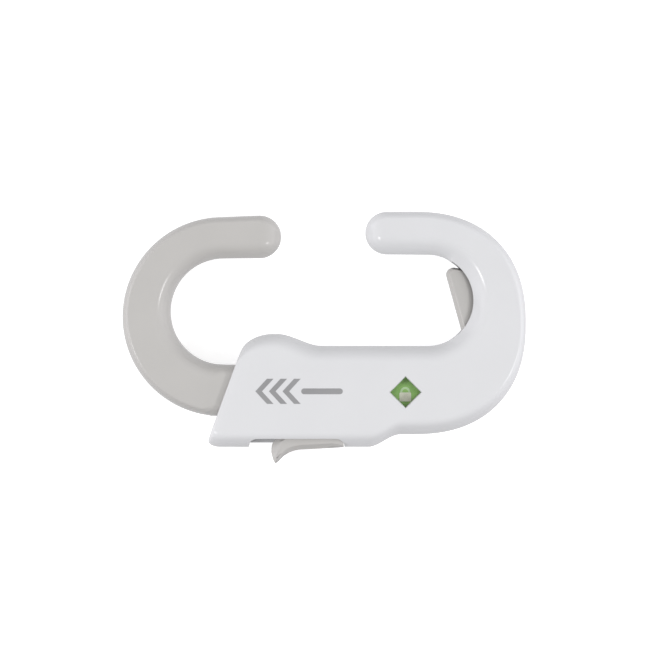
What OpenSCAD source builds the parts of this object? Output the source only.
// Cabinet slide lock for a pair of doors. It lies on its back: X runs along the sliding direction,
// Y points up when the lock hangs on two door handles, and Z runs from the rear face to the front.
// All sizes are in millimetres. The origin is below the middle of the whole outline, on the rear face.

/* [Housing] */
// Depth of the body from the rear face to the front face
body_depth = 24; // [23:0.5:26]
// Wall thickness of the white shells
wall = 2.2; // [1.9:0.1:2.4]
// Width of the rounded edge along the top of the body and the inner side of the white hook
edge_round = 7.5; // [6.5:0.5:8]
// Width of the front shell's rounded edge along the bottom of the body
edge_belly = 6.5; // [6:0.5:7]
// Width of the rear shell's rounded edge along the bottom of the body
edge_rear = 4.2; // [4:0.2:5]
// Width of the rounded edge on the outer side of the white hook
edge_out = 3.4; // [3:0.2:4]
// Depth of the white hook at its tip
tip_depth = 18.6; // [18:0.2:20]
// Radius of the round inner side of the white hook
hook_inner_r = 18.3; // [18:0.1:18.6]

/* [Sliding hook] */
// Depth of the grey hook round its bend
grey_depth = 19.6; // [19:0.2:20]
// Depth of the straight neck that runs in the body
neck_depth = 16.8; // [16:0.2:17]
// Height of the straight neck
neck_height = 20.6; // [20:0.2:21]
// Wall thickness of the grey hook halves
grey_wall = 2; // [1.8:0.1:2.2]
// Travel of the hook from closed to fully open
hook_travel = 38.5; // [35:3.5:38.5]
// Gap between the neck and the mouth on every side
slide_gap = 0.35; // [0.3:0.05:0.5]

/* [Ratchet] */
// Pitch of the rack teeth
rack_pitch = 3.5; // [3.5:0.5:3.5]
// Depth of the rack teeth
tooth_depth = 1.8; // [1.6:0.1:1.8]
// Thickness of the pawl's flexible leaf
leaf = 1.2; // [1:0.1:1.3]

/* [Trigger and lever] */
// Travel of the trigger
trigger_travel = 8; // [7:0.5:8]
// Depth of the trigger from rear to front
trigger_depth = 17.8; // [17:0.2:18]
// Depth of the squeeze lever from rear to front
lever_depth = 10; // [9:0.5:10]
// Swing of the squeeze lever in degrees
lever_swing = 16; // [14:1:16]

/* [Window] */
// Half of the diamond window's diagonal
window_half = 6.1; // [5.6:0.1:6.2]
// How far the lens lies below the front face
window_recess = 1; // [0.6:0.1:1.4]

/* [Fasteners] */
// Shank diameter of the housing and hook screws
screw_d = 2.5; // [2.2:0.1:2.6]
// Head diameter of the housing and hook screws
screw_head_d = 4.8; // [4.4:0.1:4.8]

/* [Hidden] */

$fn = 48;
eps = 0.01;
arc_steps = 5;          // flat strips in each rounded edge of a shell
mid_z = body_depth / 2; // the seam between front and rear shells
tip_round = 6;          // both rounded edges of a hook grow or shrink to this at its tip

// Places in the plane of the lock
grip_c = [41.3, 14.8];     // centre of the white hook's round inner side
bend_c = [36.2, 5.7];      // centre of the white hook's outer curve
bend_r = 44.7;             // half height of the outer curve
bend_power = 2.3;          // 2 is a circle, more is squarer
tip_r = 8.6;               // radius of the white hook's tip
tip_c = [25, 41.8];
arm_low = -3.5;            // top edge of the body between the hooks
hump_rise = 4.8;           // the body's top rises by this at the mouth end
hump_from = -1;
hump_run = 18;
belly_low = -39;           // bottom edge of the body below the white hook
belly_drop = 5.1;          // the bottom edge drops by this towards the trigger
belly_from = 30.5;
belly_run = 13;
mouth_top = [-31, 1];
mouth_bottom = [-47.6, -44.1];
mouth_round = [10, 6];     // length of the rounding behind the mouth, at the top and at the bottom
mouth_inset = [7, 3];      // how far the outline pulls in at the mouth, at the top and at the bottom
mouth_face_inset = 1.6;    // how far the front face pulls in at the mouth

grey_outer_c = [-41.1, 8.25];
grey_outer_r = 40;
grey_inner_c = [-40.5, 10.3];
grey_inner_r = 21.3;
grey_tip_c = [-26, 40.3];
grey_tip_r = 8.6;
grey_tip_half = 8.9;       // half depth of the grey hook at its tip
grey_edges = [6.5, 3];     // rounded edges of the grey hook: inner side, outer side
neck_top = -11;
neck_bottom = neck_top - neck_height;
neck_edge = 4.5;           // rounded edge of the neck
neck_end = 14;             // inner end of the neck at rest
shoulder_start = [-39.5, -45.5];
shoulder_end = [-43.5, -49.5];

window_c = [32.3, -21.9];
pivot = [60, -2];
pivot_pin_d = 3;
pin_clearance = 0.05;

// Heights of the parts that lie over each other inside the body
rack_z = [9, 15];
bar_z = [9.2, 14.8];
bar_plate_z = [15.2, 16.6];
arm_plate_z = [17, 18.2];
label_t = 0.4;
cheek_z = [6.4, 8.2];

// Levels of the ratchet in Y
rack_tip = neck_bottom + 0.2;
rack_root = rack_tip + tooth_depth;
leaf_top = neck_bottom - 1.4;
bar_top = leaf_top - leaf - 2.2;
bar_bottom = bar_top - 1.9;
roof_top = bar_bottom - 0.3;
roof_bottom = -40;
pawl_x = -10.6;            // the holding face of the pawl's tooth
drop = 2;                  // how far the trigger draws the pawl down

// Screw places: x, y and the level the head sits on
shell_screw_at = [[-20.5, -6.9, 3.4], [-36.5, -35.7, 3.4], [18.2, -10.2, 3.7], [63.5, -19, 3.4],
    [73, 8, 4.2], [30, 41.8, 6.2]];
hook_screw_at = [[-19, -23], [8, -23], [-54, -20], [-70.6, 9], [-34, 39.9]];
hook_seat = 6;
boss_base = 1.6;           // how far a boss reaches past the screw head's seat, into the wall

function mix(a, b, t) = a + (b - a) * t;
function smooth(t) = let (u = min(1, max(0, t))) u * u * (3 - 2 * u);
function unit(v) = v / norm(v);
function polar(c, r, a) = c + r * [cos(a), sin(a)];
function reverse(v) = [for (i = [len(v) - 1 : -1 : 0]) v[i]];
function turned(p, c, a) =
    let (d = p - c) c + [d[0] * cos(a) - d[1] * sin(a), d[0] * sin(a) + d[1] * cos(a)];

// ---- Half shells -------------------------------------------------------------------------------
// A section is [inner edge, outer edge, half depth, rounding at the inner edge, rounding at the outer
// edge, how far its inner side stands upright, 0 to 1]. A station is [outside section, cavity section].
// Half shells lie on the seam and grow to the front.

// Inset and height on a quarter ellipse of width w and height h, at the angle t from the seam
function round_point(w, h, t) = [w * (1 - cos(t)), h * sin(t)];

// The same for a side that stands upright to upright_h and then leans straight over to the ellipse
upright_h = lever_depth / 2 + 0.6;
function upright_point(w, h, t) =
    let (touch = 2 * atan(upright_h / h), first = 90 / arc_steps, f = (t - first) / (touch - first))
    t >= touch ? round_point(w, h, t) : mix([0, upright_h], round_point(w, h, touch), max(0, f));

function section_points(s) =
    let (span = norm(s[0] - s[1]),
         along = unit(s[0] - s[1]),
         squeeze = min(1, 0.94 * span / (s[3] + s[4])))
    [for (i = [0 : 2 * arc_steps + 1])
        let (far = i > arc_steps,
             t = 90 * (far ? 2 * arc_steps + 1 - i : i) / arc_steps,
             w = squeeze * (far ? s[3] : s[4]),
             round_at = round_point(w, s[2], t),
             at = far && t > 0 && s[5] > 0 ? mix(round_at, upright_point(w, s[2], t), s[5]) : round_at,
             p = s[1] + along * (far ? span - at[0] : at[0]))
        [p[0], p[1], mid_z + at[1]]];

function section_inset(s, t, a_in, a_out) =
    let (along = unit(s[0] - s[1])) [s[0] - along * t, s[1] + along * t, s[2] - t, a_in, a_out, 0];

// leftward is true where the run of stations turns clockwise, so that every face still looks outwards
module half_shell(stations, tip_out, tip_in, leftward = false) {
    m = 2 * arc_steps + 2;
    ring = 2 * m;
    n = len(stations);
    points = concat(
        [for (s = stations) each concat(section_points(s[0]), reverse(section_points(s[1])))],
        [[tip_out[0], tip_out[1], mid_z], [tip_in[0], tip_in[1], mid_z]]);
    last = (n - 1) * ring;
    a_out = n * ring;
    a_in = a_out + 1;
    sides = [for (i = [0 : n - 2], j = [0 : ring - 1])
        let (a = i * ring + j, b = i * ring + (j + 1) % ring)
        each [[a, b, b + ring], [a, b + ring, a + ring]]];
    mouth = [for (j = [0 : m - 2])
        each [[j + 1, j, ring - 1 - j], [j + 1, ring - 1 - j, ring - 2 - j]]];
    tip = concat(
        [for (j = [0 : m - 2]) [last + j, last + j + 1, a_out]],
        [for (j = [m : ring - 2]) [last + j, last + j + 1, a_in]],
        [[last + m - 1, last + m, a_in], [last + m - 1, a_in, a_out]],
        [[last + ring - 1, last, a_out], [last + ring - 1, a_out, a_in]]);
    faces = concat(sides, mouth, tip);
    polyhedron(points = points, faces = leftward ? [for (f = faces) reverse(f)] : faces, convexity = 12);
}

module to_rear() {
    translate([0, 0, body_depth]) mirror([0, 0, 1]) children();
}

// ---- White housing -------------------------------------------------------------------------------
function body_top(x) = arm_low + hump_rise * smooth((hump_from - x) / hump_run);
function body_bottom(x) = belly_low - belly_drop * smooth((belly_from - x) / belly_run);
function bend_point(a) =
    let (spread = pow(abs(cos(a)), bend_power) + pow(abs(sin(a)), bend_power))
    polar(bend_c, bend_r * pow(spread, -1 / bend_power), a);

// The white shell's cavity keeps a squarer corner than the outside, to leave room for the works
cavity_round = 3.5;
function white_station(inner, outer, h, a_out, upright = 0) =
    let (s = [inner, outer, h, edge_round, a_out, upright])
    [s, section_inset(s, wall, cavity_round, min(cavity_round, a_out))];

// Point of the line from p to q at height y
function at_height(p, q, y) = mix(p, q, (y - p[1]) / (q[1] - p[1]));

// The mouth end: t is 0 at the slanted face and 1 where the rounding has run out. belly is the
// rounded edge along the bottom of the body, which differs between the two shells.
mouth_steps = [0, 0.04, 0.14, 0.3];
function mouth_outside(t, belly) =
    let (x = mouth_top[0] + mouth_round[0] * t,
         top = [x, body_top(x)],
         bottom = [mouth_bottom[0] + mouth_round[1] * t, mouth_bottom[1]],
         k = 1 - sqrt(1 - (1 - t) * (1 - t)),
         along = unit(bottom - top))
    [top + along * mouth_inset[0] * k, bottom - along * mouth_inset[1] * k, mid_z - mouth_face_inset * k,
        edge_round, belly, 0];
function neck_section(p, q, gap) =
    let (steep = abs(unit(q - p)[1]), edge = (neck_edge + gap) / steep)
    [at_height(p, q, neck_top + gap), at_height(p, q, neck_bottom - gap), neck_depth / 2 + gap,
        edge, edge, 0];
function mouth_station(t, belly) =
    let (s = mouth_outside(t, belly)) [s, neck_section(s[0], s[1], slide_gap)];
function after_mouth(t, belly) =
    let (s = mouth_outside(t, belly)) white_station(s[0], s[1], s[2], belly);

function body_station(f, belly) =
    let (xt = mix(mouth_top[0] + mouth_round[0], grip_c[0], f),
         xb = mix(mouth_bottom[0] + mouth_round[1], bend_c[0], f))
    white_station([xt, body_top(xt)], [xb, body_bottom(xb)], mid_z, belly);

// The hook's inner side stands upright beside the lever's slot and rounds over in front of it
slot_from = -50;
slot_to = 58;
slot_blend = 12;
function upright_side(a) =
    smooth((a - slot_from + 14) / slot_blend) * smooth((slot_to + 12 - a) / slot_blend);
function bend_station(a, belly) =
    white_station(polar(grip_c, hook_inner_r, a), bend_point(a),
        mix(mid_z, tip_depth / 2, smooth((a + 60) / 150)), mix(belly, edge_out, smooth((a + 85) / 85)),
        upright_side(a));
function arm_station(f) =
    white_station(mix([grip_c[0], grip_c[1] + hook_inner_r], tip_c - [0, tip_r], f),
        mix([bend_c[0], bend_c[1] + bend_r], tip_c + [0, tip_r], f), tip_depth / 2, edge_out);
function tip_section(c, side, r, h, edges, a) =
    let (x = c[0] + side * r * sin(a), round = [for (e = edges) mix(e, tip_round, sin(a)) * cos(a)])
    [[x, c[1] - r * cos(a)], [x, c[1] + r * cos(a)], h * cos(a), round[0], round[1], 0];
function tip_station(c, side, r, h, t, edges, a) =
    [tip_section(c, side, r, h, edges, a), tip_section(c, side, r - t, h - t, edges, a)];
tip_angles = [14, 30, 46, 62, 76];

function white_stations(belly) = concat(
    [for (t = mouth_steps) mouth_station(t, belly)],
    [for (t = [0.42, 0.7]) after_mouth(t, belly)],
    [for (i = [0 : 22]) body_station(i / 22, belly)],
    [for (i = [1 : 18]) bend_station(-90 + 10 * i, belly)],
    [for (i = [1 : 3]) arm_station(i / 3)],
    [for (a = tip_angles) tip_station(tip_c, -1, tip_r, tip_depth / 2, wall, [edge_round, edge_out], a)]);

module white_half(belly) {
    half_shell(white_stations(belly), tip_c - [tip_r, 0], tip_c - [tip_r - wall, 0]);
}

boss_r = 3.5;
pivot_boss_r = 2.8;
notch_r = 4;
notch_x = [-26.4, 4];
notch_y = -44;
notch_rear_lip = 2.8;
notch_step = 21.2;         // in front of this the opening is lower, to hide the trigger's clearance
notch_drop = 0.5;

// Opening below the body for the trigger, between its two rounded ends
module trigger_notch(z0, z1, r = notch_r) {
    ends = [notch_x[0] - notch_r + r, notch_x[1] + notch_r - r];
    translate([0, notch_y, z0]) {
        for (x = ends) translate([x, 0, 0]) cylinder(h = z1 - z0, r = r);
        translate([ends[0], -2 * r, 0]) cube([ends[1] - ends[0], 3 * r, z1 - z0]);
        translate([ends[0] - r, -2 * r, 0]) cube([ends[1] - ends[0] + 2 * r, 2 * r, z1 - z0]);
    }
}

// Slot in the round inner side of the white hook for the squeeze lever
lever_slot_gap = 0.4;
module lever_slot() {
    translate([grip_c[0], grip_c[1], mid_z - lever_depth / 2 - lever_slot_gap])
        rotate([0, 0, slot_from])
            rotate_extrude(angle = slot_to - slot_from)
                translate([hook_inner_r - 3, 0])
                    square([3 + wall + 1.2, lever_depth + 2 * lever_slot_gap]);
}

// Roof over the trigger with one slot for each cheek of the cam plate. The notch cuts its lower side, and
// its ends stay inside the rounded skin of the body.
roof_x = [-31.8, 9.6];
roof_foot = -42.6;
cheek_x = [-12.2, 3.4];
module roof_half() {
    roof_h = mid_z - wall + 0.1;
    translate([roof_x[0], 0, mid_z]) rotate([90, 0, 90]) linear_extrude(roof_x[1] - roof_x[0])
        polygon([[roof_foot, 0], [roof_top, 0], [roof_top, roof_h], [roof_top - 1.6, roof_h],
            [roof_top - 2.2, roof_h - 0.4], [roof_foot, roof_h - 2.9]]);
}
module cheek_slots() {
    for (z = [cheek_z[0], body_depth - cheek_z[1]])
        translate([cheek_x[0] - trigger_travel - 0.6, roof_bottom - 1, z - 0.3])
            cube([cheek_x[1] - cheek_x[0] + trigger_travel + 1.2, 4, cheek_z[1] - cheek_z[0] + 0.6]);
}

// Ribs that guide the neck; the two right-hand ones leave room for the stop pin to pass
module guide_ribs() {
    rib_low = mid_z + neck_depth / 2 + slide_gap;
    rib_h = body_depth - wall + 0.6 - rib_low;
    translate([-31, -30, rib_low]) cube([1.6, 17, rib_h]);
    for (x = [-11, 4]) translate([x, -30, rib_low]) cube([1.6, 11, rib_h]);
}

module front_shell() {
    color("white") difference() {
        union() {
            white_half(edge_belly);
            for (s = shell_screw_at) {
                translate([s[0], s[1], mid_z]) cylinder(h = mid_z - s[2] + boss_base, r = boss_r - 0.6);
            }
            roof_half();
            guide_ribs();
            spring_stop();
            translate([pivot[0], pivot[1], arm_plate_z[1] + 0.4]) cylinder(h = 3.4, r = pivot_boss_r);
        }
        for (s = shell_screw_at) translate([s[0], s[1], mid_z - 1]) cylinder(h = 7, d = screw_d);
        trigger_notch(mid_z - 1, notch_step);
        trigger_notch(notch_step - 0.1, body_depth + 1, notch_r - notch_drop);
        cheek_slots();
        lever_slot();
        window_prism(window_half, mid_z + 5, body_depth + 1);
        translate([pivot[0], pivot[1], mid_z]) cylinder(h = 10.2, d = pivot_pin_d);
    }
}

module rear_shell() {
    color("white") difference() {
        union() {
            to_rear() white_half(edge_rear);
            for (s = shell_screw_at) {
                translate([s[0], s[1], s[2] - boss_base]) cylinder(h = mid_z - s[2] + boss_base, r = boss_r);
            }
            to_rear() roof_half();
            to_rear() guide_ribs();
            translate([pivot[0], pivot[1], 2]) cylinder(h = 2.5, r = pivot_boss_r);
            translate([pawl_screw_at[0], pawl_screw_at[1], 1]) cylinder(h = rack_z[0] - 1, r = 3.2);
        }
        for (s = shell_screw_at) {
            translate([s[0], s[1], -1]) cylinder(h = s[2] + 1, d = screw_head_d + 0.4);
            translate([s[0], s[1], -1]) cylinder(h = mid_z + 2, d = screw_d + 0.3);
        }
        trigger_notch(notch_rear_lip, mid_z + 1);
        cheek_slots();
        lever_slot();
        translate([pivot[0], pivot[1], 1.4]) cylinder(h = 8, d = pivot_pin_d);
        translate([pawl_screw_at[0], pawl_screw_at[1], 3.4]) cylinder(h = 8, d = 2);
    }
}

// Cross-slotted screw that points to the front, with its head's underside at the level seat
module screw(x, y, seat, length, d, head_d) {
    head_h = 0.38 * head_d;
    slot = [head_d * 0.6, 0.6, 1 + head_h * 0.45];
    difference() {
        translate([x, y, seat - head_h]) {
            cylinder(h = head_h, d = head_d);
            cylinder(h = head_h + length, d = d);
        }
        for (a = [0, 90]) translate([x, y, seat - head_h - 1]) rotate([0, 0, a])
            translate([-slot[0] / 2, -slot[1] / 2, 0]) cube(slot);
    }
}

module shell_screws() {
    color("silver") for (s = shell_screw_at) screw(s[0], s[1], s[2], 11.5, screw_d, screw_head_d);
}

module window_prism(half, z0, z1) {
    translate([window_c[0], window_c[1], z0]) rotate([0, 0, 45])
        translate([-half / sqrt(2), -half / sqrt(2), 0]) cube([half * sqrt(2), half * sqrt(2), z1 - z0]);
}

module window_lens() {
    lens_low = arm_plate_z[1] + label_t + 0.5;
    color("lightcyan") {
        window_prism(window_half - 0.05, lens_low, body_depth - window_recess);
        window_prism(window_half + 1, lens_low, body_depth - wall - 0.02);
    }
}

// ---- Grey hook -----------------------------------------------------------------------------------
function grey_station(inner, outer, h, a_in, a_out) =
    let (s = [inner, outer, h, a_in, a_out, 0])
    [s, section_inset(s, grey_wall, max(0.8, a_in - grey_wall), max(0.8, a_out - grey_wall))];

// The hook is thinnest at the neck, grows over its first stretch and thins again towards the tip
neck_blend = 0.3;
neck_run = 0.16;
function grey_half(f) =
    let (grown = smooth(neck_blend + (1 - neck_blend) * f / neck_run))
    mix(mix(neck_depth, grey_depth, grown) / 2, grey_tip_half, smooth((f - 0.5) / 0.5));

// Lowest point of a circle at the given x, and the direction from the circle's centre to it
function circle_low(c, r, x) = [x, c[1] - sqrt(r * r - pow(x - c[0], 2))];
function bend_start(c, r, x) = let (p = circle_low(c, r, x)) atan2(p[1] - c[1], p[0] - c[0]) + 360;

function grey_neck(xt, xb) =
    let (s = neck_section([xt, neck_top], [xb, neck_bottom], 0)) grey_station(s[0], s[1], s[2], s[3], s[4]);
bend_from = [bend_start(grey_inner_c, grey_inner_r, shoulder_end[0]),
    bend_start(grey_outer_c, grey_outer_r, shoulder_end[1])];
function grey_bend(f) =
    grey_station(polar(grey_inner_c, grey_inner_r, mix(bend_from[0], 90, f)),
        polar(grey_outer_c, grey_outer_r, mix(bend_from[1], 90, f)),
        grey_half(f), grey_edges[0], grey_edges[1]);
function grey_arm(f) =
    grey_station(mix(grey_inner_c + [0, grey_inner_r], grey_tip_c - [0, grey_tip_r], f),
        mix(grey_outer_c + [0, grey_outer_r], grey_tip_c + [0, grey_tip_r], f), grey_tip_half,
        grey_edges[0], grey_edges[1]);

grey_stations = concat(
    [grey_neck(neck_end, neck_end), grey_neck(shoulder_start[0] + 4, shoulder_start[1] + 4)],
    [grey_neck(shoulder_start[0], shoulder_start[1])],
    [for (i = [0 : 22]) grey_bend(i / 22)],
    [for (i = [1 : 2]) grey_arm(i / 2)],
    [for (a = tip_angles) tip_station(grey_tip_c, 1, grey_tip_r, grey_tip_half, grey_wall, grey_edges, a)]);

hook_boss_r = 3.4;
rack_slot = 0.3;
stop_pin_at = [10.5, -15];
stop_pin_d = 2.5;

module hook_half() {
    difference() {
        union() {
            half_shell(grey_stations, grey_tip_c + [grey_tip_r, 0],
                grey_tip_c + [grey_tip_r - grey_wall, 0], true);
            for (s = hook_screw_at) {
                low = s[0] > shoulder_start[0] ? rack_z[1] : mid_z;
                translate([s[0], s[1], low]) cylinder(h = body_depth - hook_seat + 2 - low, r = hook_boss_r);
            }
            translate([stop_pin_at[0], stop_pin_at[1], mid_z]) cylinder(h = neck_depth / 2 - 1, r = 2.6);
        }
        translate([-24 - rack_slot, neck_bottom - 1, mid_z - 1])
            cube([60, grey_wall + 1.4, rack_z[1] - mid_z + 1 + rack_slot]);
        translate([stop_pin_at[0], stop_pin_at[1], mid_z - 1]) cylinder(h = 20, d = stop_pin_d);
    }
}

module hook_front() {
    color("silver") difference() {
        hook_half();
        for (s = hook_screw_at) translate([s[0], s[1], mid_z - 1]) cylinder(h = 6.5, d = screw_d);
    }
}

module hook_rear() {
    color("silver") difference() {
        to_rear() hook_half();
        for (s = hook_screw_at) {
            translate([s[0], s[1], 0]) cylinder(h = hook_seat, d = screw_head_d + 0.4);
            translate([s[0], s[1], 0]) cylinder(h = mid_z + 1, d = screw_d + 0.3);
        }
    }
}

module hook_screws() {
    color("silver") for (s = hook_screw_at) screw(s[0], s[1], hook_seat, 10.5, screw_d, screw_head_d);
}

// ---- Ratchet -------------------------------------------------------------------------------------
rack_x = [-23, 34];
rack_back = -24.3;
tooth_count = hook_travel / rack_pitch + 1;
gap_back = [0.2, -0.6, -3.1];  // a gap's steep side, the end of its floor and the end of its long side

// Each gap has a steep side that holds the pawl and a long side that lets the hook close
module rack_bar() {
    color("dimgray") difference() {
        union() {
            translate([rack_x[0], rack_tip, rack_z[0]])
                cube([rack_x[1] - rack_x[0], rack_back - rack_tip, rack_z[1] - rack_z[0]]);
            for (i = [0, 1]) translate([hook_screw_at[i][0], hook_screw_at[i][1], rack_z[0]])
                cylinder(h = rack_z[1] - rack_z[0], r = hook_boss_r);
        }
        for (i = [0 : tooth_count - 1]) translate([pawl_x + i * rack_pitch, 0, rack_z[0] - 1])
            linear_extrude(rack_z[1] - rack_z[0] + 2)
                polygon([[gap_back[0], rack_tip - 1], [gap_back[0], rack_root], [gap_back[1], rack_root],
                    [gap_back[2], rack_tip], [gap_back[2], rack_tip - 1]]);
        for (i = [0, 1]) translate([hook_screw_at[i][0], hook_screw_at[i][1], rack_z[0] - 1])
            cylinder(h = rack_z[1] - rack_z[0] + 2, d = screw_d);
    }
}

module stop_pin() {
    reach = neck_depth / 2 + 0.9;
    color("silver") translate([stop_pin_at[0], stop_pin_at[1], mid_z - reach])
        cylinder(h = 2 * reach, d = stop_pin_d);
}

pawl_block = [20, 28];
pawl_screw_at = [24, -34.6];
pawl_seat = rack_z[1] - 1.6;   // the pawl screw's head sinks into the pawl's block
ear_at = [-8, leaf_top - leaf - 0.2];
ear_d = 2.2;

module ratchet_pawl() {
    color("gainsboro") difference() {
        union() {
            translate([0, 0, rack_z[0]]) linear_extrude(rack_z[1] - rack_z[0])
                polygon([[pawl_block[1], leaf_top + 0.7], [pawl_block[0], leaf_top + 0.7],
                    [pawl_block[0] - 3, leaf_top], [pawl_x + 0.8, leaf_top], [pawl_x, leaf_top + 0.8],
                    [pawl_x, rack_root - 0.3], [pawl_x - 0.5, rack_root - 0.3], [pawl_x - 3, rack_tip - 0.3],
                    [pawl_x - 3, leaf_top - leaf], [pawl_block[0] - 3, leaf_top - leaf],
                    [pawl_block[0], -37], [pawl_block[1], -37]]);
            for (z = [cheek_z[0] - 0.2, rack_z[1] - 0.4]) translate([ear_at[0], ear_at[1], z])
                cylinder(h = rack_z[0] + 0.4 - cheek_z[0] + 0.2, d = ear_d);
        }
        translate([pawl_screw_at[0], pawl_screw_at[1], rack_z[0] - 1]) cylinder(h = 8, d = 2.3);
        translate([pawl_screw_at[0], pawl_screw_at[1], pawl_seat]) cylinder(h = 3, d = 4);
    }
}

module pawl_screw() {
    color("silver") translate([0, 0, pawl_seat + 0.05]) mirror([0, 0, 1])
        screw(pawl_screw_at[0], pawl_screw_at[1], 0, 8, 2, 3.6);
}

// Blocks the space below the pawl's free end; a plate and a tab carry the slot for the drive pin
module lock_bar() {
    bar_x = [pawl_x - 4.4, 16.5];
    stop_w = 4.6;
    plate_y = [-35, -33.2];
    plate_x = [13.2, 49];
    tab_x = 42.6;
    tab_top = -23.4;
    pin_slot = [drive_pin_d + 1.1, 9.2];
    plate_t = bar_plate_z[1] - bar_plate_z[0];
    color("gainsboro") difference() {
        union() {
            translate([bar_x[0], bar_bottom, bar_z[0]])
                cube([bar_x[1] - bar_x[0], bar_top - bar_bottom, bar_z[1] - bar_z[0]]);
            translate([bar_x[0], bar_bottom, bar_z[0]])
                cube([stop_w, leaf_top - leaf - 0.2 - bar_bottom, bar_z[1] - bar_z[0]]);
            translate([plate_x[0], bar_bottom, bar_z[0]])
                cube([bar_x[1] - plate_x[0], bar_top - bar_bottom, bar_plate_z[1] - bar_z[0]]);
            translate([plate_x[0], bar_bottom, bar_plate_z[0]])
                cube([bar_x[1] - plate_x[0], plate_y[1] - bar_bottom, plate_t]);
            translate([plate_x[0], plate_y[0], bar_plate_z[0]])
                cube([plate_x[1] - plate_x[0], plate_y[1] - plate_y[0], plate_t]);
            translate([tab_x, plate_y[0], bar_plate_z[0]])
                cube([plate_x[1] - tab_x, tab_top - plate_y[0], plate_t]);
        }
        translate([drive_pin_at[0] - pin_slot[0] / 2, drive_pin_at[1] - 1.9, bar_plate_z[0] - 1])
            cube([pin_slot[0], pin_slot[1], 4]);
    }
}

// ---- Trigger -------------------------------------------------------------------------------------
trigger_z = mid_z - trigger_depth / 2;
trigger_top = -40.3;
cam_base_y = [-42.2, trigger_top];
cam_base_x = [-15, 3.4];
cam_screw_x = [-12.9, 1.4];
cam_seat = trigger_top - 1;
cam_hole_low = -43.7;

// Side view of the finger tab: its concave right side is part of an ellipse
module trigger_profile() {
    scoop_c = [-8.6, -54.9];
    scoop_r = [11.4, 10];
    scoop = [for (a = [146 : -8 : 90]) scoop_c + [scoop_r[0] * cos(a), scoop_r[1] * sin(a)]];
    polygon(concat([[-18.8, trigger_top], [-20.3, -41.4], [-21, -42.9], [-21.3, -45.2], [-20.7, -48.2],
        [-19.9, -50.3], [-19.3, -50.4]], scoop, [[6.3, notch_y], [notch_x[1], trigger_top]]));
    intersection() {
        translate([notch_x[1], notch_y]) circle(r = notch_r - 0.3);
        translate([notch_x[1] - 0.5, notch_y]) square([6, trigger_top - notch_y]);
    }
}

module trigger() {
    color("silver") difference() {
        translate([0, 0, trigger_z]) linear_extrude(trigger_depth) trigger_profile();
        translate([cam_base_x[0], cam_base_y[0], cheek_z[0]])
            cube([cam_base_x[1] - cam_base_x[0], 4, body_depth - 2 * cheek_z[0]]);
        cam_holes(1.7);
    }
}

module cam_holes(d) {
    for (x = cam_screw_x) translate([x, cam_hole_low, mid_z]) rotate([-90, 0, 0]) cylinder(h = 6, d = d);
}

spring_at = [leaf_top - 3.6, 19.3];
spring_x = [-29.6, -13.4];
spring_r = 1.5;

module cam_plate() {
    lug = [2.8, 3.6];
    slot_w = ear_d + 0.3;
    color("gainsboro") difference() {
        union() {
            translate([cam_base_x[0], cam_base_y[0], cheek_z[0]])
                cube([cam_base_x[1] - cam_base_x[0], cam_base_y[1] - cam_base_y[0],
                    body_depth - 2 * cheek_z[0]]);
            for (z = [cheek_z[0], body_depth - cheek_z[1]]) translate([cheek_x[0], cam_base_y[0], z])
                cube([cheek_x[1] - cheek_x[0], neck_bottom - 0.4 - cam_base_y[0], cheek_z[1] - cheek_z[0]]);
            translate([spring_x[1], spring_at[0] - lug[1] / 2, body_depth - cheek_z[0] - 0.4])
                cube([lug[0], lug[1], 3.2]);
            translate([cheek_x[0], spring_at[0] - lug[1] / 2, body_depth - cheek_z[1]]) cube([1, lug[1], 2]);
        }
        // inclined slots: the pawl's ears ride down in them as the trigger moves left
        linear_extrude(body_depth) hull() for (k = [0, 1])
            translate([ear_at[0] + k * trigger_travel, ear_at[1] - k * drop]) circle(d = slot_w);
        for (x = cam_screw_x) translate([x, cam_seat, mid_z]) rotate([-90, 0, 0]) cylinder(h = 3, d = 3.3);
        cam_holes(1.9);
    }
}

// The two cam screws point down, with their heads sunk in the cam plate's base
module cam_screws() {
    head_h = 0.8;
    color("silver") for (x = cam_screw_x) translate([x, cam_seat, mid_z]) rotate([90, 0, 0]) difference() {
        union() {
            translate([0, 0, -head_h]) cylinder(h = head_h, d = 3);
            translate([0, 0, -head_h]) cylinder(h = head_h + cam_seat - cam_hole_low - 0.1, d = 1.6);
        }
        translate([-1, -0.2, -head_h - 1]) cube([2, 0.4, 1.4]);
    }
}

// Fixed end of the trigger's spring, on the front shell
module spring_stop() {
    translate([spring_x[0] - 1.8, spring_at[0] - 2.2, spring_at[1] - 1.9])
        cube([1.8, 4.4, body_depth - wall + 0.6 - spring_at[1] + 1.9]);
}

// ---- Wire springs --------------------------------------------------------------------------------
wire_sides = 6;

// A round wire along points whose path turns about the given axis
module wire(path, d, axis) {
    n = len(path);
    ring = [for (i = [0 : n - 1])
        let (dir = unit(path[min(i + 1, n - 1)] - path[max(i - 1, 0)]),
             u = unit(cross(dir, axis)),
             v = cross(dir, u))
        each [for (k = [0 : wire_sides - 1])
            path[i] + d / 2 * (u * cos(360 * k / wire_sides) + v * sin(360 * k / wire_sides))]];
    sides = [for (i = [0 : n - 2], k = [0 : wire_sides - 1])
        let (a = i * wire_sides + k, b = i * wire_sides + (k + 1) % wire_sides)
        each [[a, a + wire_sides, b + wire_sides], [a, b + wire_sides, b]]];
    polyhedron(points = ring, faces = concat(sides, [[for (k = [0 : wire_sides - 1]) k]],
        [[for (k = [wire_sides - 1 : -1 : 0]) (n - 1) * wire_sides + k]]), convexity = 8);
}

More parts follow.
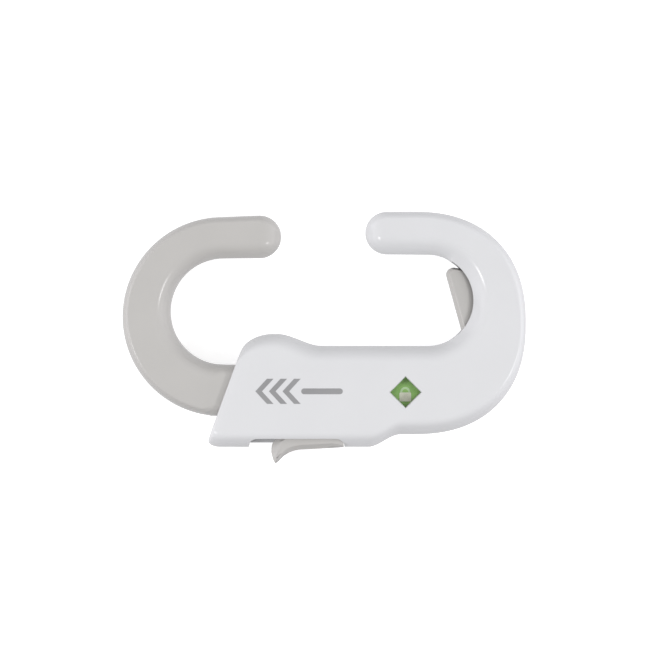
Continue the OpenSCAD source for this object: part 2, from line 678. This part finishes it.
module trigger_spring() {
    wire_d = 0.45;
    turns = 8;
    steps = 12;
    length = spring_x[1] - spring_x[0] - wire_d - 0.2;
    color("silver") wire([for (i = [0 : turns * steps])
        [spring_x[0] + wire_d / 2 + 0.1 + length * i / (turns * steps),
            spring_at[0] + spring_r * cos(360 * i / steps), spring_at[1] + spring_r * sin(360 * i / steps)]],
        wire_d, [1, 0, 0]);
}

// Torsion spring round the lever's pivot: one leg lies in the body, the other rests under the lever
module lever_spring() {
    wire_d = 0.5;
    count = 31;
    steps = 14;
    r = 3.2;
    from = -70;
    low = 5.35;
    rise = 0.038;
    coil = [for (i = [0 : count])
        let (p = polar(pivot, r, 360 * i / steps + from)) [p[0], p[1], low + rise * i]];
    body_leg = coil[0] + [-9, -3.5, 0];
    lever_leg = coil[count] + [-0.8, 5.5, 0.12];
    color("silver") wire(concat([body_leg], coil, [lever_leg]), wire_d, [0, 0, 1]);
}

// ---- Squeeze lever and indicator -----------------------------------------------------------------
lever_z = mid_z - lever_depth / 2;
lever_hub_r = 4;
drive_pin_at = [46, -32];
drive_pin_d = 2;
indicator_screw_at = [[62, 3.2], [57.4, -8.4]];
unlocked_c = turned(window_c, pivot, lever_swing);

module squeeze_lever() {
    color("silver") difference() {
        union() {
            translate([0, 0, lever_z]) linear_extrude(lever_depth) {
                hull() {
                    translate([51.7, 25.2]) circle(r = 2.7);
                    translate([57.6, 25.4]) circle(r = 1.6);
                    translate([60.6, 6]) circle(r = 2.4);
                    translate(pivot) circle(r = lever_hub_r);
                }
                hull() {
                    translate(pivot) circle(r = 3);
                    translate(indicator_screw_at[1]) circle(r = 2);
                }
            }
            translate([pivot[0], pivot[1], 4.7]) cylinder(h = 3, r = 2.6);
        }
        // pressed hollow: the lever is a moulded channel behind its face
        translate([0, 0, mid_z - 3]) linear_extrude(6)
            polygon([[54, 22], [60.4, 22], [62.4, 8.5], [57.4, 8.5]]);
        translate([pivot[0], pivot[1], 0]) cylinder(h = body_depth, d = pivot_pin_d + 2 * pin_clearance);
        for (p = indicator_screw_at) translate([p[0], p[1], arm_plate_z[0] - 5]) cylinder(h = 8, d = 1.4);
    }
}

module lever_pin() {
    color("silver") translate([pivot[0], pivot[1], 1.6]) cylinder(h = 20.4, d = pivot_pin_d);
}

module indicator_arm() {
    elbow = [48, -14.5];
    color("gainsboro") difference() {
        translate([0, 0, arm_plate_z[0]]) {
            linear_extrude(arm_plate_z[1] - arm_plate_z[0]) {
                translate(pivot) circle(r = 3.3);
                for (p = indicator_screw_at) hull() {
                    translate(pivot) circle(r = 1.8);
                    translate(p) circle(r = 1.8);
                }
                hull() {
                    translate(pivot) circle(r = 1.9);
                    translate(elbow) circle(r = 1.9);
                }
                hull() {
                    translate(elbow) circle(r = 1.9);
                    translate(drive_pin_at) circle(r = 2.2);
                    translate(window_c) rotate(45) square(window_half * sqrt(2) + 0.5, center = true);
                    translate(unlocked_c) rotate(45 + lever_swing)
                        square(window_half * sqrt(2) + 0.3, center = true);
                }
            }
            translate([drive_pin_at[0], drive_pin_at[1], -2]) cylinder(h = 2 + eps, d = drive_pin_d);
        }
        translate([pivot[0], pivot[1], 0]) cylinder(h = body_depth, d = pivot_pin_d + 2 * pin_clearance);
        for (p = indicator_screw_at) translate([p[0], p[1], 0]) cylinder(h = body_depth, d = 1.7);
    }
}

module indicator_screws() {
    color("silver") for (p = indicator_screw_at)
        translate([0, 0, arm_plate_z[1]]) mirror([0, 0, 1]) screw(p[0], p[1], 0, 5, 1.4, 2.8);
}

module label(c, a, side) {
    translate([c[0], c[1], arm_plate_z[1]]) rotate([0, 0, a]) translate([-side / 2, -side / 2, 0])
        cube([side, side, label_t]);
}

module locked_label() {
    color("green") label(window_c, 45, window_half * sqrt(2));
}

module unlocked_label() {
    color("red") label(unlocked_c, 45 + lever_swing, window_half * sqrt(2) - 0.4);
}

front_shell();
rear_shell();
shell_screws();
window_lens();
hook_front();
hook_rear();
hook_screws();
rack_bar();
stop_pin();
ratchet_pawl();
pawl_screw();
trigger();
cam_plate();
cam_screws();
trigger_spring();
squeeze_lever();
lever_pin();
lever_spring();
indicator_arm();
indicator_screws();
locked_label();
unlocked_label();
lock_bar();
